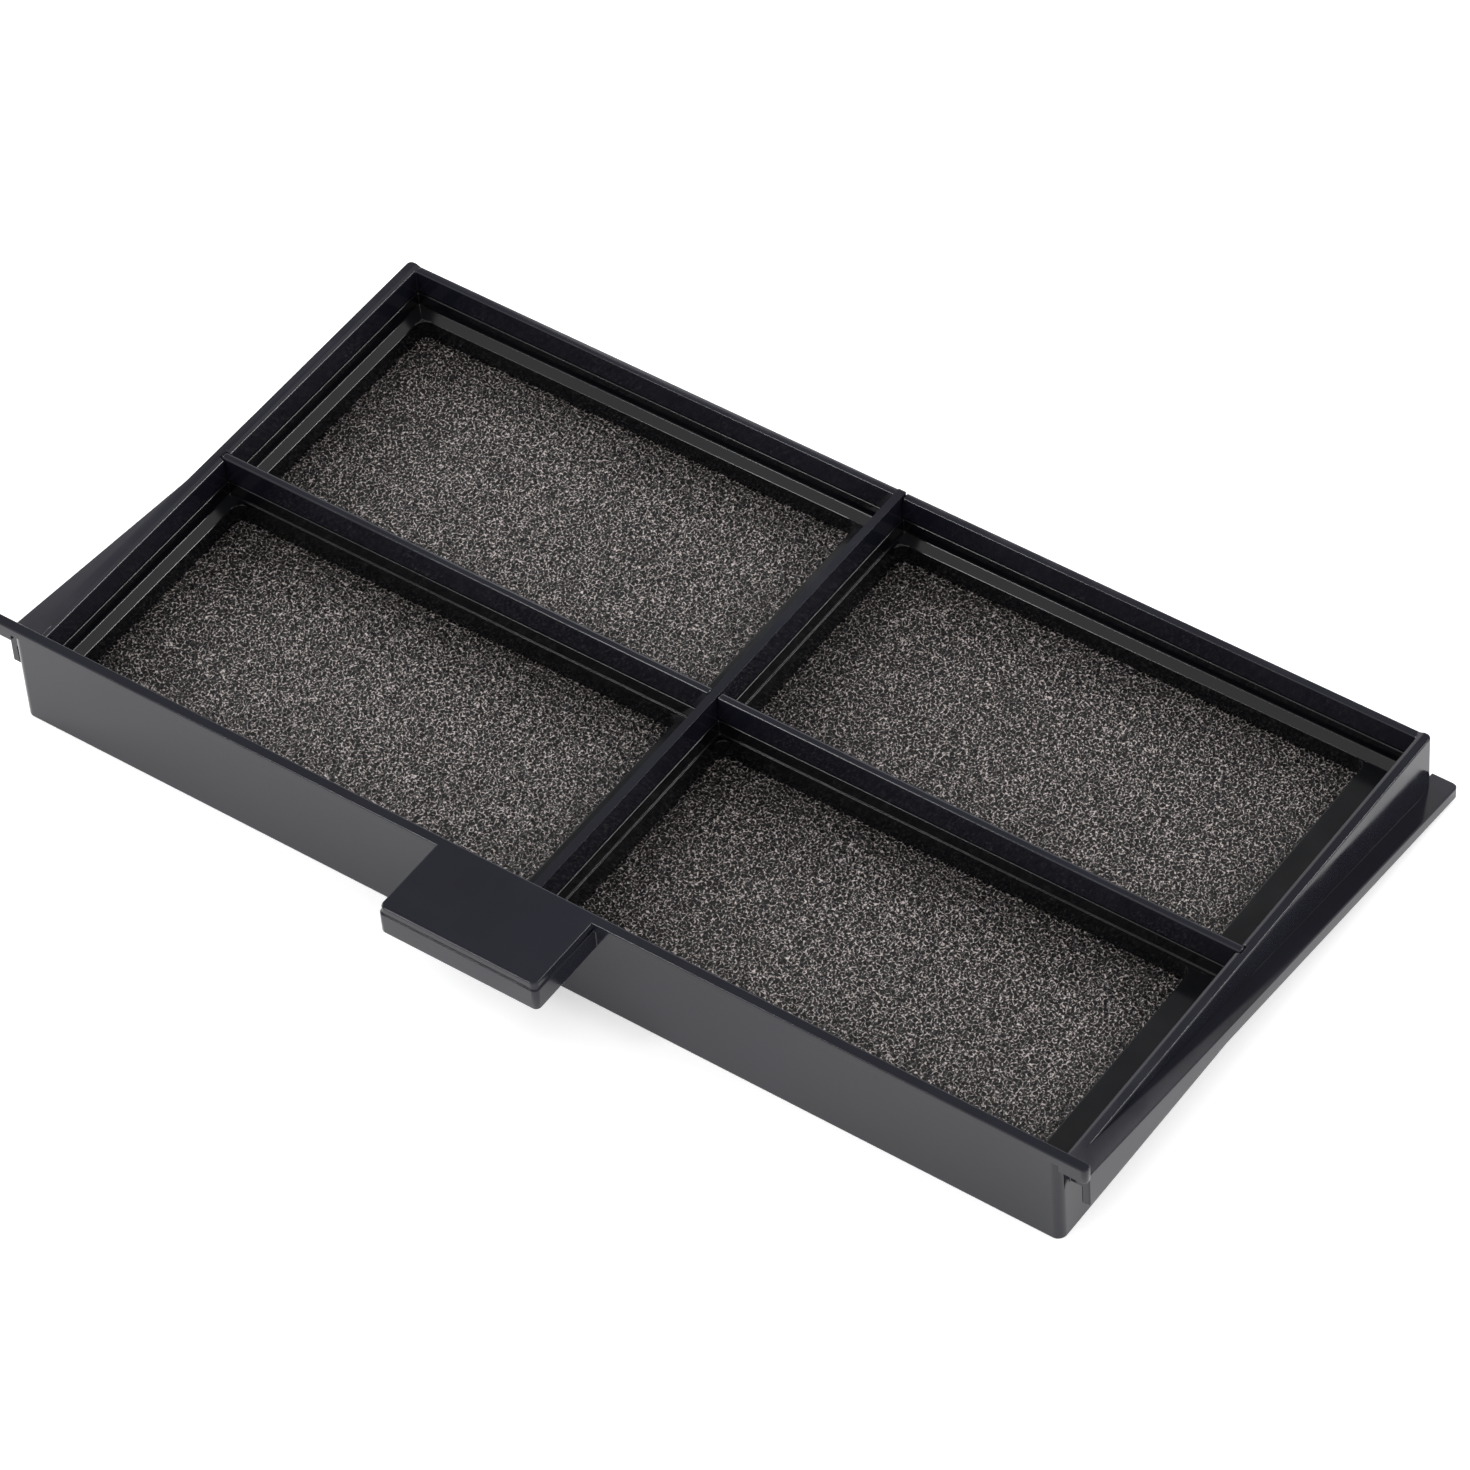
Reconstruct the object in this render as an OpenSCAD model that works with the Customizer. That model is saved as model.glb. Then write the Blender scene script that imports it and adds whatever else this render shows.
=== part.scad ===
// Slide-in foam filter tray: a shallow moulded frame with sloping side rails
// and a pull tab, a window frame pushed in from below, two halved divider strips,
// four foam pads and a retaining grille underneath.
// Millimetres. X runs along the long side, -Y is the pull-tab side, +Z is up.
// The origin is the centre of the tray, on its underside.

/* [Tray] */
// Width of the tray over its side walls, along X
tray_w = 160; // [130:1:200]
// Depth of the tray from its front face to its back face, along Y
tray_d = 84.4; // [70:0.2:110]
// Height of the side rims above the underside
rim_h = 11.75; // [11:0.05:13]
// Height of the bevel along the side rims, and how far the back rim lies below them
rim_bevel_h = 0.3; // [0.2:0.05:0.5]
// Thickness of the side walls at the rim
side_wall = 1.8; // [1.6:0.1:2.4]
// Thickness of the front and back walls at the rim
end_wall = 1.2; // [1:0.1:1.6]
// Height of the step below which the walls are rebated for the window frame
step_z = 7.8; // [7.4:0.1:8.2]
// Depth of that rebate
rebate = 0.4; // [0.3:0.05:0.5]
// Corner radius at the front of the tray
front_corner_r = 1.3; // [1:0.1:3]
// Corner radius at the back of the tray
back_corner_r = 0.8; // [0.5:0.1:1.5]

/* [Front panel] */
// Height of the front panel, which stands above the rims
panel_h = 16.3; // [15:0.1:18]
// Height of the lip along the panel's top
lip_h = 1.3; // [1:0.1:1.8]
// How far the lip stands proud of the panel
lip_proud = 0.3; // [0.1:0.05:0.6]
// How far each end of the lip runs past the side walls
lip_end = 4; // [3:0.1:5]
// Height of the lip's ends
lip_end_h = 2.4; // [1.8:0.1:3]

/* [Pull tab] */
// Width of the tab
tab_w = 24.2; // [18:0.1:36]
// How far the tab reaches out from the front face
tab_l = 12.3; // [8:0.1:20]
// Height of the tab's front edge
tab_h = 4.6; // [3.6:0.1:6]
// Thickness of the tab's top plate
tab_plate = 1.2; // [1:0.1:1.6]
// How far the tab's skirt stands proud of its top plate
tab_step = 0.2; // [0.1:0.05:0.4]

/* [Side rails] */
// How far each rail stands out from its side wall
rail_w = 2.8; // [2:0.1:4]
// Height of the rail's top at the back face
rail_back_z = 2.4; // [2:0.1:4]
// Height of the rail's top at the front face
rail_front_z = 12.5; // [10:0.1:12.8]
// Height of the level lower edge of the rail's outer skirt
skirt_z = 6.5; // [5:0.1:7]
// How far the rail runs past the back wall
rail_tail = 2.1; // [0:0.1:3]
// Height of the rail's lower edge at its back end
rail_tail_z = 0.4; // [0.2:0.05:0.6]

/* [Dividers] */
// Thickness of the divider strips
divider_t = 1.2; // [1:0.1:1.6]
// Thickness of the tongue along each strip's lower edge
tongue_t = 0.6; // [0.5:0.05:0.8]

/* [Window frame] */
// Height at which the sloping shoulder leaves the walls
shoulder_z = 5.6; // [5.4:0.1:6]
// Width of the shoulder
shoulder_w = 1.5; // [1:0.1:2]
// Height of the ledge at the shoulder's foot
ledge_z = 4.9; // [4.6:0.1:5.2]
// Thickness of the ledge
ledge_t = 1.2; // [1:0.1:1.5]
// Height of the lower edge of the lips around the windows
window_lip_z = 1.9; // [1.8:0.1:2.4]
// How far the frame's collar stands proud of the walls above it
collar_proud = 0.2; // [0.1:0.05:0.3]
// Width of the sill between a divider's rib and the window beside it
sill = 0.25; // [0.2:0.05:0.6]
// Distance from the right wall to the right-hand windows
right_margin = 6.1; // [4:0.1:7]
// Corner radius of the windows
window_r = 1.5; // [0.8:0.1:3]

/* [Foam pads] */
// Clearance around each pad, which fills one quarter of the tray
pad_gap = 0.25; // [0.2:0.05:0.5]
// How far a pad swells up into its window
pad_swell = 0.25; // [0.1:0.05:0.6]

/* [Retaining grille] */
// Thickness of the grille
grille_t = 0.6; // [0.6:0.05:0.8]
// Width of the grille's bars
bar_w = 1.2; // [1:0.1:2]
// Number of open bays across each half of the grille
bays = 6; // [5:1:8]

/* [Hidden] */
$fn = 48;
// Clearance between pieces that fit into each other
play = 0.05;
// How far a cut runs past the face that it opens
overcut = 1;
// Longer than anything that it cuts off
reach = 40;
half_w = tray_w / 2;
half_d = tray_d / 2;
inner_x = half_w - side_wall;
inner_y = half_d - end_wall;
seat_x = inner_x + rebate;
seat_y = inner_y + rebate;
back_rim_z = rim_h - rim_bevel_h;
rim_bevel_w = 0.6;

lip_front = -half_d - lip_proud;
lip_back = -inner_y;
lip_corner_r = 0.7;

tab_front = -half_d - tab_l;
tab_corner_r = 0.8;
tab_skirt_t = 1.2;
tab_rib_t = 0.9;
tab_rib_rise = 0.6;

rail_slope = (rail_front_z - rail_back_z) / tray_d;
rail_front_y = -half_d + 2.2;
rail_back_y = half_d + rail_tail;
rail_skirt_t = 1.2;
rail_root = 1.2;
rail_corner_r = 0.9;
rail_corner_facets = 12;
skirt_end_y = -12;

divider_slot_z = (step_z + rim_h) / 2;
tongue_z = shoulder_z + 0.4;
tongue_top = step_z + 0.5;
notch_in = 0.7;
hook_z = 10.6;
upstand_w = divider_t + 2 * collar_proud;
groove_t = tongue_t + 2 * play;

collar_x = inner_x - collar_proud;
collar_y = inner_y - collar_proud;
window_near = upstand_w / 2 + sill;
window_outer_x = collar_x - shoulder_w;
window_outer_y = collar_y - shoulder_w;
window_w = inner_x - right_margin - window_near;
window_lip_t = 1;
window_size = [window_w, window_outer_y - window_near];
// Low corner of the window on the left or right (-1, 1) and front or back (-1, 1)
function window_low(side, row) = [
    side < 0 ? -window_outer_x : window_near,
    row < 0 ? -window_outer_y : window_near
];
WINDOWS = [for (side = [-1, 1], row = [-1, 1]) window_low(side, row)];

grille_x = seat_x - 2 * play;
grille_y = seat_y - 2 * play;
grille_edge = 3;
lug_l = 8;
lug_out = 0.3;
lug_slot_l = lug_l + 0.4;
lug_z = 0.15;
lug_h = 0.3;
pad_corner_r = 1;
LUG_X = [-60, -20, 20, 60];

// Rectangle between two corners, with its four corners rounded
module rounded_rect(low, high, r) {
    size = high - low;
    translate(low + [r, 0]) square(size - [2 * r, 0]);
    translate(low + [0, r]) square(size - [0, 2 * r]);
    for (x = [low[0] + r, high[0] - r], y = [low[1] + r, high[1] - r])
        translate([x, y]) circle(r);
}

// Block between two heights over a rounded rectangle
module rounded_block(low, high, r, z0, z1) {
    translate([0, 0, z0]) linear_extrude(z1 - z0) rounded_rect(low, high, r);
}

// Plain block between two opposite corners
module block(low, high) {
    translate(low) cube(high - low);
}

// Side outline in the YZ plane, given as [y, z] points, from x0 to x1
module side_profile(points, x0, x1) {
    translate([x0, 0, 0]) rotate([90, 0, 90]) linear_extrude(x1 - x0) polygon(points);
}

// Height of the rails' top surface at a given y
function rail_top(y) = rail_back_z + (half_d - y) * rail_slope;

// Height of the rails' lower surface at a given y
function rail_low(y) = rail_tail_z
    + (rail_back_y - y) * (skirt_z - rail_tail_z) / (rail_back_y - skirt_end_y);

// Outline of the walls, with wider corners at the front
module wall_plan() {
    rounded_rect([-half_w, -half_d], [half_w, 0], front_corner_r);
    rounded_rect([-half_w, -half_d / 2], [half_w, half_d], back_corner_r);
}

module walls() {
    linear_extrude(rim_h) wall_plan();
}

// The panel rises above the rims at the front, and its lip runs past both sides
module front_panel() {
    intersection() {
        linear_extrude(panel_h) wall_plan();
        block([-half_w, -half_d, 0], [half_w, lip_back, panel_h]);
    }
    rounded_block([-half_w - lip_end, lip_front], [half_w + lip_end, lip_back],
        lip_corner_r, panel_h - lip_h, panel_h);
    for (side = [-1, 1])
        intersection() {
            rounded_block([-half_w - lip_end, lip_front], [half_w + lip_end, lip_back],
                lip_corner_r, panel_h - lip_end_h, panel_h);
            translate([side * (half_w + reach / 2), -half_d, panel_h])
                cube([reach, reach, reach], center = true);
        }
}

// Thin top plate over a hollow skirt that stands slightly proud of it
module pull_tab() {
    half_tab = tab_w / 2;
    bottom = panel_h - tab_h;
    plate_z = panel_h - tab_plate;
    rounded_block([-half_tab + tab_step, tab_front + tab_step],
        [half_tab - tab_step, lip_back - tab_corner_r], tab_corner_r, plate_z, panel_h);
    difference() {
        rounded_block([-half_tab, tab_front], [half_tab, -half_d + tab_corner_r],
            tab_corner_r, bottom, plate_z);
        block([-half_tab + tab_skirt_t, tab_front + tab_skirt_t, bottom - overcut],
            [half_tab - tab_skirt_t, -half_d, plate_z]);
    }
    for (x = [-half_tab / 3, half_tab / 3])
        block([x - tab_rib_t / 2, tab_front + tab_skirt_t / 2, bottom + tab_rib_rise],
            [x + tab_rib_t / 2, -half_d + end_wall / 2, plate_z]);
}

// Sloping plate on the right side wall, with an outer skirt below its front half
module side_rail() {
    end_y = rail_back_y + overcut;
    skirt_y = skirt_end_y + overcut;
    skirt_x = half_w + rail_w - rail_skirt_t;
    out_x = half_w + rail_w + overcut;
    intersection() {
        union() {
            side_profile([
                [rail_front_y, rail_low(rail_front_y)],
                [end_y, rail_low(end_y)],
                [end_y, rail_top(end_y)],
                [rail_front_y, rail_top(rail_front_y)]
            ], half_w - rail_root, out_x);
            side_profile([
                [rail_front_y, skirt_z],
                [skirt_y, skirt_z],
                [skirt_y, rail_top(skirt_y) - overcut],
                [rail_front_y, rail_top(rail_front_y) - overcut]
            ], skirt_x, out_x);
        }
        rounded_block([0, rail_front_y - reach], [half_w + rail_w, rail_back_y],
            rail_corner_r, -overcut, panel_h, $fn = rail_corner_facets);
    }
}

// Room inside the walls: wider below the step, where the window frame sits
module wall_room() {
    block([-inner_x, -inner_y, step_z - overcut], [inner_x, inner_y, panel_h + overcut]);
    block([-seat_x, -seat_y, -overcut], [seat_x, seat_y, step_z]);
}

// Bevel along the inner edge of the right rim, open at the back
module rim_bevel() {
    end_y = half_d + overcut;
    translate([0, end_y, 0]) rotate([90, 0, 0])
        linear_extrude(end_y + inner_y)
        polygon([
            [inner_x - overcut, back_rim_z],
            [inner_x, back_rim_z],
            [inner_x + rim_bevel_w, rim_h],
            [inner_x + rim_bevel_w, rim_h + overcut],
            [inner_x - overcut, rim_h + overcut]
        ]);
}

// Seats for the divider ends, as [low corner, high corner] of each cut
module divider_notches() {
    half_t = divider_t / 2 + play;
    block([-inner_x - notch_in - play, -half_t, step_z],
        [inner_x + notch_in + play, half_t, rim_h + overcut]);
    block([-half_t, 0, hook_z], [half_t, half_d + overcut, rim_h + overcut]);
    block([-half_t, -inner_y - notch_in, step_z], [half_t, 0, rim_h]);
}

// Lugs along the long edges that snap the grille into the walls
module grille_lugs(out, length, z0, z1) {
    for (x = LUG_X, side = [-1, 1])
        translate([x, side * grille_y, (z0 + z1) / 2])
            cube([length, 2 * out, z1 - z0], center = true);
}

module tray_frame() {
    color("#2b2c2f") difference() {
        union() {
            difference() {
                union() {
                    walls();
                    side_rail();
                    mirror([1, 0, 0]) side_rail();
                }
                block([-inner_x, 0, back_rim_z], [inner_x, half_d + overcut, rim_h + overcut]);
                rim_bevel();
                mirror([1, 0, 0]) rim_bevel();
            }
            front_panel();
            pull_tab();
        }
        wall_room();
        divider_notches();
        grille_lugs(lug_out + 2 * play, lug_slot_l, lug_z - play, lug_z + lug_h + play);
    }
}

// Sloping shoulder along the right or back wall, between the collar and a window
module shoulder(collar, length) {
    rotate([90, 0, 0]) linear_extrude(length, center = true)
        polygon([
            [collar - shoulder_w, ledge_z],
            [collar - shoulder_w, ledge_z - ledge_t / 2],
            [collar + collar_proud, ledge_z - ledge_t / 2],
            [collar + collar_proud, shoulder_z],
            [collar, shoulder_z]
        ]);
}

// Upright band with shoulders and four windows, pushed in from below up to the step
module window_frame() {
    top = step_z - play;
    low = ledge_z - ledge_t;
    out_x = seat_x - play;
    out_y = seat_y - play;
    rib_w = upstand_w / 2;
    foot_w = rib_w + sill;
    lip = [window_lip_t, window_lip_t];
    color("#2b2c2f") difference() {
        union() {
            difference() {
                block([-out_x, -out_y, grille_t + play], [out_x, out_y, top]);
                block([-collar_x, -collar_y, ledge_z], [collar_x, collar_y, top + overcut]);
                block([-collar_x, -collar_y, 0], [collar_x, collar_y, low]);
            }
            for (turn = [0, 180])
                rotate([0, 0, turn]) {
                    shoulder(collar_x, 2 * collar_y);
                    rotate([0, 0, 90]) shoulder(collar_y, 2 * collar_x);
                }
            block([-out_x, -rib_w, low], [out_x, rib_w, top]);
            block([-rib_w, -out_y, low], [rib_w, out_y, top]);
            block([-collar_x, -foot_w, low], [collar_x, foot_w, shoulder_z]);
            block([-foot_w, -collar_y, low], [foot_w, collar_y, shoulder_z]);
            for (w = WINDOWS)
                rounded_block(w - lip, w + window_size + lip, window_r + window_lip_t,
                    window_lip_z, ledge_z - ledge_t / 2);
        }
        for (w = WINDOWS)
            rounded_block(w, w + window_size, window_r, window_lip_z - overcut, top + overcut);
        block([-out_x - overcut, -groove_t / 2, tongue_z - play],
            [out_x + overcut, groove_t / 2, top + overcut]);
        block([-groove_t / 2, -out_y - overcut, tongue_z - play],
            [groove_t / 2, out_y + overcut, top + overcut]);
    }
}

// Strip along X, slotted from above where the cross divider passes
module long_divider() {
    end_x = inner_x + notch_in;
    color("#2b2c2f") difference() {
        union() {
            block([-end_x, -divider_t / 2, step_z], [end_x, divider_t / 2, rim_h]);
            block([-collar_x, -tongue_t / 2, tongue_z], [collar_x, tongue_t / 2, tongue_top]);
        }
        block([-divider_t / 2 - play, -overcut, divider_slot_z],
            [divider_t / 2 + play, overcut, rim_h + overcut]);
    }
}

// Strip along Y, slotted from below, hooked over the back rim
module cross_divider() {
    half_t = divider_t / 2;
    color("#2b2c2f") difference() {
        union() {
            block([-half_t, -inner_y - notch_in + play, step_z], [half_t, inner_y - play, rim_h - play]);
            block([-half_t, 0, hook_z + play], [half_t, half_d, rim_h]);
            block([-half_t, -inner_y, hook_z], [half_t, half_d / 2, rim_h]);
            block([-tongue_t / 2, -collar_y, tongue_z], [tongue_t / 2, collar_y, tongue_top]);
        }
        block([-overcut, -divider_t / 2 - play, tongue_z - overcut],
            [overcut, divider_t / 2 + play, divider_slot_z + play]);
    }
}

// Pad that fills one quarter of the tray and swells up a little into its window
module foam_pad(side, row) {
    base_z = grille_t + play;
    w = window_low(side, row);
    inset = [pad_gap, pad_gap];
    far = [collar_x, collar_y] - inset;
    low = [side < 0 ? -far[0] : pad_gap, row < 0 ? -far[1] : pad_gap];
    color("#4a4642") {
        rounded_block(low, low + far - inset, pad_corner_r, base_z, window_lip_z - play);
        rounded_block(w + inset, w + window_size - inset, window_r - pad_gap,
            base_z, window_lip_z + pad_swell);
    }
}

module foam_pad_rear_left() {
    foam_pad(-1, 1);
}

module foam_pad_rear_right() {
    foam_pad(1, 1);
}

module foam_pad_front_left() {
    foam_pad(-1, -1);
}

module foam_pad_front_right() {
    foam_pad(1, -1);
}

// Flat grille that snaps into the walls below the pads
module retaining_grille() {
    bay = (grille_x - grille_edge - bar_w / 2) / bays;
    opening = [bay - bar_w, grille_y - grille_edge - bar_w / 2];
    color("#2b2c2f") difference() {
        union() {
            block([-grille_x, -grille_y, 0], [grille_x, grille_y, grille_t]);
            grille_lugs(lug_out, lug_l, lug_z, lug_z + lug_h);
        }
        for (side = [0, 1], row = [0, 1], i = [0:bays - 1])
            mirror([side, 0, 0]) mirror([0, row, 0])
                translate([bar_w / 2 + i * bay, bar_w / 2, -overcut])
                    cube([opening[0], opening[1], grille_t + 2 * overcut]);
    }
}

tray_frame();
window_frame();
long_divider();
cross_divider();
foam_pad_rear_left();
foam_pad_rear_right();
foam_pad_front_left();
foam_pad_front_right();
retaining_grille();
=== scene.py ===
"""Slide-in foam filter tray: the looks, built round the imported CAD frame.

The plastic pieces are copies of their CAD nodes with every edge rounded a little,
as a mould leaves it. The foam pads are modelled as open-cell foam.
"""

import math

import bmesh
import bpy
import numpy as np
from mathutils import Matrix, Vector


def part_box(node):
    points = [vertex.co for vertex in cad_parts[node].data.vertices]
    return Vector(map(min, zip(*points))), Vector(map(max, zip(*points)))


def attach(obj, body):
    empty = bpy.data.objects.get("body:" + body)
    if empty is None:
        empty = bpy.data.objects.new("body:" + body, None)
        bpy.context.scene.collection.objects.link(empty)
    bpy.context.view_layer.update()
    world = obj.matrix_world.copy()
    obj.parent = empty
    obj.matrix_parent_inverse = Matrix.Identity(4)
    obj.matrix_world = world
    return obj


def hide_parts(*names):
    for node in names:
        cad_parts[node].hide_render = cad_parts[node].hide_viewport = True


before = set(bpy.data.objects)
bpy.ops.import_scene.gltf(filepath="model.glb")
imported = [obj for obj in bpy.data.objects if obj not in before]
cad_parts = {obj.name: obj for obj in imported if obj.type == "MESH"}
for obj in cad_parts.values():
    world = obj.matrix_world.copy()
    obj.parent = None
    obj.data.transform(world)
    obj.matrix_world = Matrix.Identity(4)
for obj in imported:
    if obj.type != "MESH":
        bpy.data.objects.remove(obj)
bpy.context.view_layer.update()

MM = 0.001
BODY = "root"

# Camera: angles in degrees, lens and sensor in millimetres, the rest in metres
CAMERA_AZIMUTH = 38.6
CAMERA_ELEVATION = 47.8
CAMERA_ROLL = -4.585
CAMERA_LENS = 179.8
CAMERA_SENSOR = 36
CAMERA_SHIFT = 0.0035
CAMERA_DISTANCE = 0.9359
CAMERA_AIM = Vector((0.0, 0.0023, 0.00165))
CAMERA_NEAR = 0.01
CAMERA_FAR = 20

# Edge rounding of the moulded pieces, and how finely their faces are told apart
EDGE_ROUND = 0.2 * MM
DIVIDER_ROUND = 0.32 * MM
EDGE_SEGMENTS = 3
SHARP_ANGLE = math.radians(25)
THIN_FACE_SHARE = 0.4
FLAT_ANGLE = math.radians(2)
SAME_PLANE = math.cos(math.radians(1))
TOUCHING = 0.002 * MM
WELD = 0.001 * MM
CUT_TOLERANCE = 0.0001 * MM
PLACE_DIGITS = 6
END_SHARE = 0.05

# Floor
WHITE = (1, 1, 1, 1)
FLOOR_REACH = 3.0
FLOOR_COLOUR = (0.86, 0.86, 0.86, 1)
FLOOR_ROUGHNESS = 0.9
FLOOR_SPECULAR = 0.1
FLOOR_GLOW = 0.39

# Light tent: white all round, with a gap behind and above the tray
TENT_GLOW = 1.12
GAP_GLOW = 0.42
GAP_AZIMUTH = 38.6
GAP_ELEVATION = 58.0
GAP_INNER = 13.0
GAP_OUTER = 24.0

# Square soft lamps, all aimed at the tray: place and side in metres, power in watts
LAMPS = {
    "back_left_softbox": ((-0.99, 0.2, 0.55), 0.4, 6.5),
    "front_left_softbox": ((-0.42, -0.62, 0.67), 0.14, 1.6),
    "back_right_softbox": ((0.62, 0.52, 0.59), 0.16, 2.0),
    "back_softbox": ((-0.42, 0.69, 0.58), 0.25, 0.55),
}

# Moulded plastic: base colours and roughness of its finishes, and how uneven they are.
# Noise scales are in clouds to the metre, and ranges are the part of the noise that counts.
BLACK = (0.0072, 0.0075, 0.0125)
DEEP_BLACK = (0.0028, 0.0031, 0.0042)
SATIN_ROUGHNESS = 0.11
GLOSSY_ROUGHNESS = 0.08
SMOOTH_ROUGHNESS = 0.14
PLASTIC_IOR = 1.4
TONE_SCALE = 60
TONE_RANGE = (0.35, 0.65)
TONE_SPREAD = 0.15
GLOSS_SCALE = 140
GLOSS_RANGE = (0.3, 0.7)
GLOSSIER = 0.04
DULLER = 0.06
GRAIN_SCALE = 5000
GRAIN_STRENGTH = 0.04
GRAIN_HEIGHT = 0.02 * MM

# Open-cell foam: its relief
PORE = 0.62 * MM
FOAM_STEP = 0.25 * MM
FOAM_COARSE_STEP = 1.6 * MM
PORE_DEPTH = 0.42 * MM
SHALLOWEST_PORE = 0.4
STRAND_WIDTH = 0.2 * MM
PAD_SHOULDER = 0.3 * MM
PAD_CROWN = 0.25 * MM
CROWN_EDGE = 0.8 * MM
LUMP_HEIGHT = 0.1 * MM
# How far in from the window's edge the painted shade on the foam fades out
EDGE_SHADE_REACH = 8 * MM
GRID_DIGITS = 7
FOAM_SEED = 7

# Open-cell foam: its looks. Strand widths are shares of a pore.
FOAM_IOR = 1.33
FOAM_ROUGHNESS = 0.38
# Painted shade inside the pores
FOAM_PORE_SHADE = (0.003, 0.0027, 0.0026, 1)
FOAM_SHADED = (0.018, 0.016, 0.0152, 1)
FOAM_SHADED_AT = 0.4
FOAM_STRAND = (0.51, 0.451, 0.44, 1)
STRAND_CORE = 0.02
UPPER_STRAND = 0.2
LOWER_STRAND = 0.16
LOWER_FINENESS = 1.7
# Brightness of the deeper net, dimmed by painted shade
LOWER_SHADED_BRIGHTNESS = 0.08
PATCH_SCALE = 3200
PATCH_RANGE = (0.38, 0.64)
PATCH_DARKEST = 0.2
# Painted shade on the foam at the window's edges, as a share of its brightness, and the mesh attribute
# that carries how far from it a point is
EDGE_SHADE_SHARE = 0.87
PAINTED_SHADE_ATTRIBUTE = "unshaded_share"
STRAND_STRENGTH = 0.7
STRAND_HEIGHT = 0.12 * MM

FOAM_NODES = ["foam_pad_rear_left", "foam_pad_rear_right", "foam_pad_front_left", "foam_pad_front_right"]


# ---------------------------------------------------------------- camera and stage

def make_camera():
    """A long lens that looks down on the tray from its front right, turned a little about its axis."""
    azimuth, elevation, roll = (
        math.radians(angle) for angle in (CAMERA_AZIMUTH, CAMERA_ELEVATION, CAMERA_ROLL)
    )
    towards = Vector((
        math.cos(elevation) * math.sin(azimuth),
        -math.cos(elevation) * math.cos(azimuth),
        math.sin(elevation),
    ))
    level_right = Vector((math.cos(azimuth), math.sin(azimuth), 0))
    level_up = towards.cross(level_right)
    right = level_right * math.cos(roll) + level_up * math.sin(roll)
    up = level_up * math.cos(roll) - level_right * math.sin(roll)
    data = bpy.data.cameras.new("camera")
    data.lens = CAMERA_LENS
    data.sensor_width = CAMERA_SENSOR
    data.shift_x = CAMERA_SHIFT
    data.clip_start = CAMERA_NEAR
    data.clip_end = CAMERA_FAR
    camera = bpy.data.objects.new("camera", data)
    bpy.context.collection.objects.link(camera)
    camera.matrix_world = Matrix.Translation(CAMERA_AIM + towards * CAMERA_DISTANCE) @ (
        Matrix((right, up, towards)).transposed().to_4x4()
    )
    bpy.context.scene.camera = camera


def make_floor():
    """A pale table, lit a little from below."""
    mesh = bpy.data.meshes.new("floor")
    corners = [(x * FLOOR_REACH, y * FLOOR_REACH, 0) for x, y in ((-1, -1), (1, -1), (1, 1), (-1, 1))]
    mesh.from_pydata(corners, [], [(0, 1, 2, 3)])
    floor = bpy.data.objects.new("floor", mesh)
    bpy.context.collection.objects.link(floor)
    material = bpy.data.materials.new("pale_floor")
    material.use_nodes = True
    shader = material.node_tree.nodes["Principled BSDF"]
    shader.inputs["Base Color"].default_value = FLOOR_COLOUR
    shader.inputs["Roughness"].default_value = FLOOR_ROUGHNESS
    shader.inputs["Specular IOR Level"].default_value = FLOOR_SPECULAR
    shader.inputs["Emission Color"].default_value = WHITE
    shader.inputs["Emission Strength"].default_value = FLOOR_GLOW
    mesh.materials.append(material)


def make_light_tent():
    """A white tent that lights from all sides, dimmer in its gap."""
    world = bpy.data.worlds.new("light_tent")
    world.use_nodes = True
    tree = world.node_tree
    azimuth, elevation = math.radians(GAP_AZIMUTH), math.radians(GAP_ELEVATION)
    towards_gap = tree.nodes.new("ShaderNodeVectorMath")
    towards_gap.operation = "DOT_PRODUCT"
    towards_gap.inputs[1].default_value = (
        -math.cos(elevation) * math.sin(azimuth),
        math.cos(elevation) * math.cos(azimuth),
        math.sin(elevation),
    )
    direction = tree.nodes.new("ShaderNodeTexCoord")
    tree.links.new(direction.outputs["Generated"], towards_gap.inputs[0])
    gap = [math.cos(math.radians(angle)) for angle in (GAP_OUTER, GAP_INNER)]
    glow = remapped(tree, towards_gap.outputs["Value"], gap, (TENT_GLOW, GAP_GLOW), "SMOOTHSTEP")
    tree.links.new(glow, tree.nodes["Background"].inputs["Strength"])
    tree.nodes["Background"].inputs["Color"].default_value = WHITE
    bpy.context.scene.world = world


def make_lamps():
    """The soft lamps round the tray."""
    for name, (place, side, watts) in LAMPS.items():
        data = bpy.data.lights.new(name, "AREA")
        data.shape = "SQUARE"
        data.size = side
        data.energy = watts
        lamp = bpy.data.objects.new(name, data)
        lamp.location = place
        lamp.rotation_euler = Vector(place).to_track_quat("Z", "Y").to_euler()
        bpy.context.collection.objects.link(lamp)


# ---------------------------------------------------------------- material parts

def new_material(name):
    """A new material, its node tree, its shader, and the socket that says where on the piece it is."""
    material = bpy.data.materials.new(name)
    material.use_nodes = True
    tree = material.node_tree
    place = tree.nodes.new("ShaderNodeTexCoord").outputs["Object"]
    return material, tree, tree.nodes["Principled BSDF"], place


def noise(tree, place, scale, detail):
    """Cloudy noise, with so many clouds to the metre."""
    clouds = tree.nodes.new("ShaderNodeTexNoise")
    clouds.inputs["Scale"].default_value = scale
    clouds.inputs["Detail"].default_value = detail
    tree.links.new(place, clouds.inputs["Vector"])
    return clouds.outputs["Fac"]


def remapped(tree, value, source, target, interpolation="LINEAR"):
    """A value carried from its source range to a target range."""
    ranges = tree.nodes.new("ShaderNodeMapRange")
    ranges.interpolation_type = interpolation
    for socket, limit in zip(("From Min", "From Max", "To Min", "To Max"), (*source, *target)):
        ranges.inputs[socket].default_value = limit
    tree.links.new(value, ranges.inputs["Value"])
    return ranges.outputs["Result"]


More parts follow.
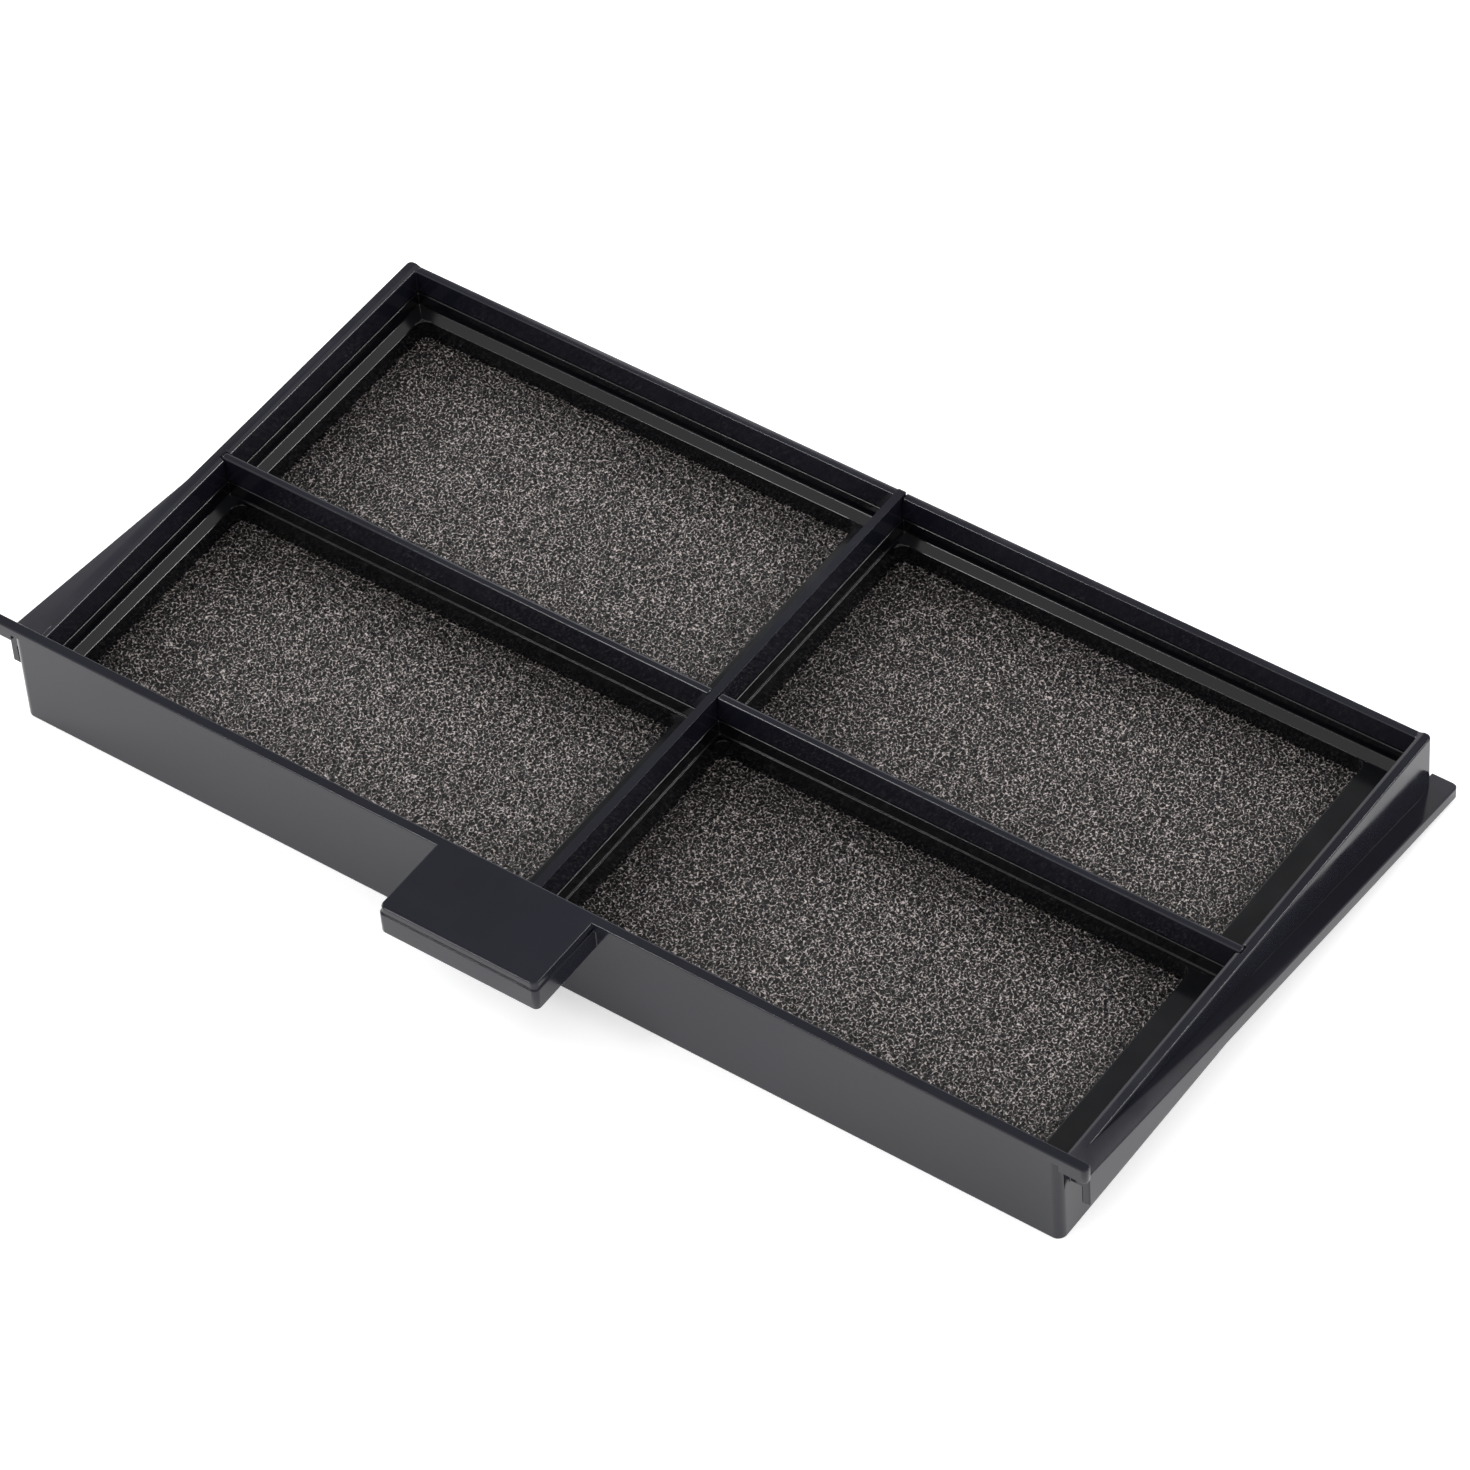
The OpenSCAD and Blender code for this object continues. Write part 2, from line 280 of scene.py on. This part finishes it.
def combined(tree, operation, first, second):
    """Two values put together by a maths operation, such as MULTIPLY."""
    maths = tree.nodes.new("ShaderNodeMath")
    maths.operation = operation
    tree.links.new(first, maths.inputs[0])
    tree.links.new(second, maths.inputs[1])
    return maths.outputs["Value"]


def coloured(tree, value, first, last, *between):
    """The colour that stands for a value. Each stop is a position and a colour."""
    ramp = tree.nodes.new("ShaderNodeValToRGB")
    elements = ramp.color_ramp.elements
    for element, (position, colour) in zip(elements, (first, last)):
        element.position = position
        element.color = colour
    for position, colour in between:
        elements.new(position).color = colour
    tree.links.new(value, ramp.inputs["Fac"])
    return ramp.outputs["Color"]


def raise_surface(tree, shader, height, strength, distance):
    """Bumps on the shader's surface: a height of 1 stands so many metres up."""
    bump = tree.nodes.new("ShaderNodeBump")
    bump.inputs["Strength"].default_value = strength
    bump.inputs["Distance"].default_value = distance
    tree.links.new(height, bump.inputs["Height"])
    tree.links.new(bump.outputs["Normal"], shader.inputs["Normal"])


def strand_net(tree, place, scale, width, brightness):
    """One layer of foam: bright on the strands between the pores, 0 inside the pores."""
    pores = tree.nodes.new("ShaderNodeTexVoronoi")
    pores.feature = "DISTANCE_TO_EDGE"
    pores.inputs["Scale"].default_value = scale
    tree.links.new(place, pores.inputs["Vector"])
    return remapped(
        tree, pores.outputs["Distance"], (STRAND_CORE, width), (brightness, 0), "SMOOTHSTEP")


# ---------------------------------------------------------------- materials

def moulded_plastic(name, base, roughness):
    """Black moulded plastic: a fine grain, and a slightly uneven tone and gloss."""
    material, tree, shader, place = new_material(name)
    shader.inputs["IOR"].default_value = PLASTIC_IOR

    darker, lighter = (
        (*(channel * share for channel in base), 1) for share in (1 - TONE_SPREAD, 1 + TONE_SPREAD)
    )
    tone_noise = noise(tree, place, TONE_SCALE, detail=4)
    tone = coloured(tree, tone_noise, (TONE_RANGE[0], darker), (TONE_RANGE[1], lighter))
    tree.links.new(tone, shader.inputs["Base Color"])

    gloss_noise = noise(tree, place, GLOSS_SCALE, detail=6)
    sheen = remapped(tree, gloss_noise, GLOSS_RANGE, (roughness - GLOSSIER, roughness + DULLER))
    tree.links.new(sheen, shader.inputs["Roughness"])

    grain = noise(tree, place, GRAIN_SCALE, detail=3)
    raise_surface(tree, shader, grain, GRAIN_STRENGTH, GRAIN_HEIGHT)
    return material


def open_cell_foam(name):
    """Dark filter foam: a net of glossy strands over a second net dimmed by painted shade, with pores
    painted black as shade.

    It is darker towards the pad's edges: painted shade, by a share that the pad's mesh carries.
    """
    material, tree, shader, place = new_material(name)
    shader.inputs["IOR"].default_value = FOAM_IOR
    shader.inputs["Roughness"].default_value = FOAM_ROUGHNESS
    upper = strand_net(tree, place, 1 / PORE, UPPER_STRAND, brightness=1)
    # The deeper net is dimmed by painted shade
    lower = strand_net(tree, place, LOWER_FINENESS / PORE, LOWER_STRAND, brightness=LOWER_SHADED_BRIGHTNESS)
    nearest = combined(tree, "MAXIMUM", upper, lower)

    patches = noise(tree, place, PATCH_SCALE, detail=3)
    patch_light = remapped(tree, patches, PATCH_RANGE, (PATCH_DARKEST, 1))
    lit = combined(tree, "MULTIPLY", nearest, patch_light)

    # Painted shade towards the pad's edges, as the pad's mesh gives it
    unshaded_share = tree.nodes.new("ShaderNodeAttribute")
    unshaded_share.attribute_name = PAINTED_SHADE_ATTRIBUTE
    painted_edge_shade = remapped(tree, unshaded_share.outputs["Fac"], (0, 1), (EDGE_SHADE_SHARE, 1))
    shaded = combined(tree, "MULTIPLY", lit, painted_edge_shade)

    colour = coloured(
        tree, shaded, (0, FOAM_PORE_SHADE), (1, FOAM_STRAND), (FOAM_SHADED_AT, FOAM_SHADED))
    tree.links.new(colour, shader.inputs["Base Color"])
    raise_surface(tree, shader, nearest, STRAND_STRENGTH, STRAND_HEIGHT)
    return material


# ---------------------------------------------------------------- moulded pieces

def flat_regions(shape):
    """The faces in groups, each group joined edge to edge in one plane."""
    left = dict.fromkeys(shape.faces)
    regions = []
    while left:
        waiting = [left.popitem()[0]]
        region = list(waiting)
        while waiting:
            face = waiting.pop()
            for edge in face.edges:
                for other in edge.link_faces:
                    if other in left and other.normal.dot(face.normal) > SAME_PLANE:
                        del left[other]
                        region.append(other)
                        waiting.append(other)
        regions.append(region)
    return regions


def outlines(region):
    """The separate closed outlines of a flat region, as sets of corners, largest first."""
    inside = set(region)
    links = {}
    for edge in (edge for face in region for edge in face.edges):
        if sum(face in inside for face in edge.link_faces) == 1:
            a, b = edge.verts
            links.setdefault(a, set()).add(b)
            links.setdefault(b, set()).add(a)
    found = []
    while links:
        waiting = [next(iter(links))]
        outline = set(waiting)
        while waiting:
            for other in links.pop(waiting.pop(), ()):
                if other not in outline:
                    outline.add(other)
                    waiting.append(other)
        found.append(outline)
    return sorted(found, key=lambda outline: -spread(outline))


def spread(corners):
    """Diagonal of the box around some corners."""
    places = np.array([corner.co for corner in corners])
    return float(np.linalg.norm(places.max(axis=0) - places.min(axis=0)))


def cut_open_holes(shape):
    """Cuts each flat region that has holes through the middle of every hole."""
    for region in flat_regions(shape):
        holes = outlines(region)[1:]
        faces_sideways = abs(region[0].normal.x) > math.sin(math.radians(45))
        along = Vector((0, 1, 0)) if faces_sideways else Vector((1, 0, 0))
        middles = {
            round(sum(corner.co.dot(along) for corner in hole) / len(hole), PLACE_DIGITS)
            for hole in holes
        }
        faces = region
        for middle in sorted(middles):
            faces = [face for face in faces if face.is_valid]
            parts = dict.fromkeys(
                part for face in faces for part in (face, *face.edges, *face.verts))
            cut = bmesh.ops.bisect_plane(
                shape, geom=list(parts), dist=CUT_TOLERANCE, plane_co=along * middle, plane_no=along)
            faces = [part for part in cut["geom"] if isinstance(part, bmesh.types.BMFace)]
            for part in cut["geom_cut"]:
                if isinstance(part, bmesh.types.BMEdge):
                    part.seam = True


def room_across(face, edge):
    """How far a flat face runs from one of its edges before it meets another."""
    start = edge.verts[0].co
    length = edge.calc_length()
    along = (edge.verts[1].co - start) / length
    inward = face.normal.cross(along)
    for loop in edge.link_loops:
        if loop.face == face and loop.vert == edge.verts[1]:
            inward = -inward
    flat = {
        corner: ((corner.co - start).dot(along), (corner.co - start).dot(inward))
        for corner in face.verts
    }
    room = math.inf
    for x, y in flat.values():
        if -TOUCHING < x < length + TOUCHING and y > TOUCHING:
            room = min(room, y)
    for side in face.edges:
        if side == edge:
            continue
        (x0, y0), (x1, y1) = (flat[corner] for corner in side.verts)
        for x in (length * END_SHARE, length * (1 - END_SHARE)):
            if min(x0, x1) < x < max(x0, x1):
                y = y0 + (y1 - y0) * (x - x0) / (x1 - x0)
                if y > 0:
                    room = min(room, y)
    return room


def rounded_copy(node, material, rounding):
    """A copy of a CAD node whose sharp edges are rounded, less where a face is narrow."""
    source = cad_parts[node]
    shape = bmesh.new()
    shape.from_mesh(source.data)
    bmesh.ops.remove_doubles(shape, verts=shape.verts, dist=WELD)
    shape.normal_update()
    cut_open_holes(shape)
    bmesh.ops.dissolve_limit(
        shape, angle_limit=FLAT_ANGLE, verts=shape.verts, edges=shape.edges,
        delimit={"SEAM"})
    weight = shape.edges.layers.float.new("bevel_weight_edge")
    for edge in shape.edges:
        if len(edge.link_faces) == 2 and edge.calc_face_angle() > SHARP_ANGLE:
            narrow = min(room_across(face, edge) for face in edge.link_faces)
            edge[weight] = min(1.0, THIN_FACE_SHARE * narrow / rounding)
    mesh = bpy.data.meshes.new(node + "_rounded")
    shape.to_mesh(mesh)
    shape.free()
    mesh.shade_smooth()
    piece = bpy.data.objects.new(node + "_moulding", mesh)
    bpy.context.collection.objects.link(piece)
    bevel = piece.modifiers.new("edge rounding", "BEVEL")
    bevel.limit_method = "WEIGHT"
    bevel.width = rounding
    bevel.segments = EDGE_SEGMENTS
    bevel.use_clamp_overlap = False
    normals = piece.modifiers.new("flat faces stay flat", "WEIGHTED_NORMAL")
    normals.keep_sharp = True
    mesh.materials.append(material)
    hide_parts(node)
    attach(piece, BODY)


# ---------------------------------------------------------------- foam pads

def cells(x, y, pitch, seed):
    """Distance to the nearest cell wall and a random number for the cell, at each point."""
    chance = np.random.default_rng(seed)
    column = np.floor(x / pitch).astype(int)
    row = np.floor(y / pitch).astype(int)
    reach = 2
    low_column, low_row = column.min() - reach, row.min() - reach
    shape = (column.max() - low_column + reach + 1, row.max() - low_row + reach + 1)
    jitter_x, jitter_y, tone = chance.random((3, *shape))
    first = np.full(x.shape, np.inf)
    second = np.full(x.shape, np.inf)
    own = np.zeros(x.shape)
    for step_x in range(-reach, reach + 1):
        for step_y in range(-reach, reach + 1):
            i = column + step_x - low_column
            j = row + step_y - low_row
            centre_x = (column + step_x + jitter_x[i, j]) * pitch
            centre_y = (row + step_y + jitter_y[i, j]) * pitch
            away = np.hypot(x - centre_x, y - centre_y)
            nearer = away < first
            second = np.where(nearer, first, np.minimum(second, away))
            own = np.where(nearer, tone[i, j], own)
            first = np.where(nearer, away, first)
    return second - first, own


def spaced(low, high, step):
    """Places from low to high, about a step apart."""
    return np.linspace(low, high, max(2, int(round((high - low) / step)) + 1))


def window_over(node):
    """Low and high corner of the raised part of a pad, which fills the window above it."""
    points = np.array([corner.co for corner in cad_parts[node].data.vertices])
    raised = points[points[:, 2] > points[:, 2].max() - TOUCHING]
    return raised[:, :2].min(axis=0), raised[:, :2].max(axis=0)


def foam_piece(node, material, seed):
    """A pad whose face inside the window is a relief of strands and pores."""
    low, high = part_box(node)
    window_low, window_high = window_over(node)
    xs, ys = (
        np.unique(np.concatenate([
            spaced(low[axis], window_low[axis], FOAM_COARSE_STEP),
            spaced(window_low[axis], window_high[axis], FOAM_STEP),
            spaced(window_high[axis], high[axis], FOAM_COARSE_STEP)]).round(GRID_DIGITS))
        for axis in (0, 1)
    )
    x, y = np.meshgrid(xs, ys, indexing="ij")
    wall, depth = cells(x, y, PORE, seed)
    strand = np.clip(1 - wall / STRAND_WIDTH, 0, 1)
    _, lumps = cells(x, y, PORE / 2, seed + len(FOAM_NODES))
    to_edge = np.minimum.reduce([
        x - window_low[0], window_high[0] - x, y - window_low[1], window_high[1] - y])
    raised = np.clip(to_edge / CROWN_EDGE, 0, 1)
    pores = PORE_DEPTH * (1 - strand) * (SHALLOWEST_PORE + (1 - SHALLOWEST_PORE) * depth)
    relief = PAD_CROWN - pores + LUMP_HEIGHT * (lumps - 0.5)
    z = high[2] - PAD_SHOULDER + raised * relief
    # Painted shade: 0 at the window's edge, fading to 1, unshaded, this far in
    free = np.clip(to_edge / EDGE_SHADE_REACH, 0, 1)
    unshaded_share = free * free * (3 - 2 * free)
    make_pad_mesh(node, xs, ys, z, low[2], unshaded_share, material)


def make_pad_mesh(node, xs, ys, z, bottom_z, unshaded_share, material):
    """A closed pad: the relief on top, upright sides, and a flat bottom fanned from its middle.

    The top is painted darker towards the window's edges, as painted shade, and the sides and bottom
    fully so. The mesh carries how far each point is from that shade.
    """
    columns, rows = len(xs), len(ys)
    x, y = np.meshgrid(xs, ys, indexing="ij")
    top = np.stack([x, y, z], axis=-1).reshape(-1, 3)
    index = np.arange(columns * rows).reshape(columns, rows)
    quads = np.stack([index[:-1, :-1], index[1:, :-1], index[1:, 1:], index[:-1, 1:]], axis=-1)
    rim = np.concatenate([index[:, 0], index[-1, 1:], index[-2::-1, -1], index[0, -2:0:-1]])
    foot = top[rim] * (1, 1, 0) + (0, 0, bottom_z)
    middle = foot.mean(axis=0)
    foot_index = len(top) + np.arange(len(rim))
    middle_index = len(top) + len(rim)
    sides = np.stack([rim, foot_index, np.roll(foot_index, -1), np.roll(rim, -1)], axis=-1)
    fan = [(middle_index, b, a) for a, b in zip(foot_index, np.roll(foot_index, -1))]
    name = node.replace("foam_pad", "foam")
    mesh = bpy.data.meshes.new(name)
    mesh.from_pydata(
        [*top.tolist(), *foot.tolist(), middle.tolist()], [],
        [*quads.reshape(-1, 4).tolist(), *sides.tolist(), *fan])
    # How far each point is from the painted edge shade; the sides and bottom are fully shaded
    shade_attribute = mesh.attributes.new(PAINTED_SHADE_ATTRIBUTE, "FLOAT", "POINT")
    shaded_bottom = np.zeros(len(foot) + 1)
    shade_attribute.data.foreach_set("value", np.concatenate([unshaded_share.ravel(), shaded_bottom]))
    mesh.shade_smooth()
    mesh.materials.append(material)
    piece = bpy.data.objects.new(name, mesh)
    bpy.context.collection.objects.link(piece)
    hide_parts(node)
    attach(piece, BODY)


# ---------------------------------------------------------------- build

make_camera()
make_floor()
make_light_tent()
make_lamps()
bpy.context.scene.view_settings.view_transform = "Standard"

satin = moulded_plastic("satin_black_plastic", BLACK, SATIN_ROUGHNESS)
gloss = moulded_plastic("glossy_black_plastic", BLACK, GLOSSY_ROUGHNESS)
smooth = moulded_plastic("smooth_black_plastic", DEEP_BLACK, SMOOTH_ROUGHNESS)
foam = open_cell_foam("dark_filter_foam")
rounded_copy("tray_frame", satin, EDGE_ROUND)
rounded_copy("retaining_grille", satin, EDGE_ROUND)
rounded_copy("window_frame", smooth, EDGE_ROUND)
rounded_copy("long_divider", gloss, DIVIDER_ROUND)
rounded_copy("cross_divider", gloss, DIVIDER_ROUND)
for number, node in enumerate(FOAM_NODES):
    foam_piece(node, foam, FOAM_SEED + number)
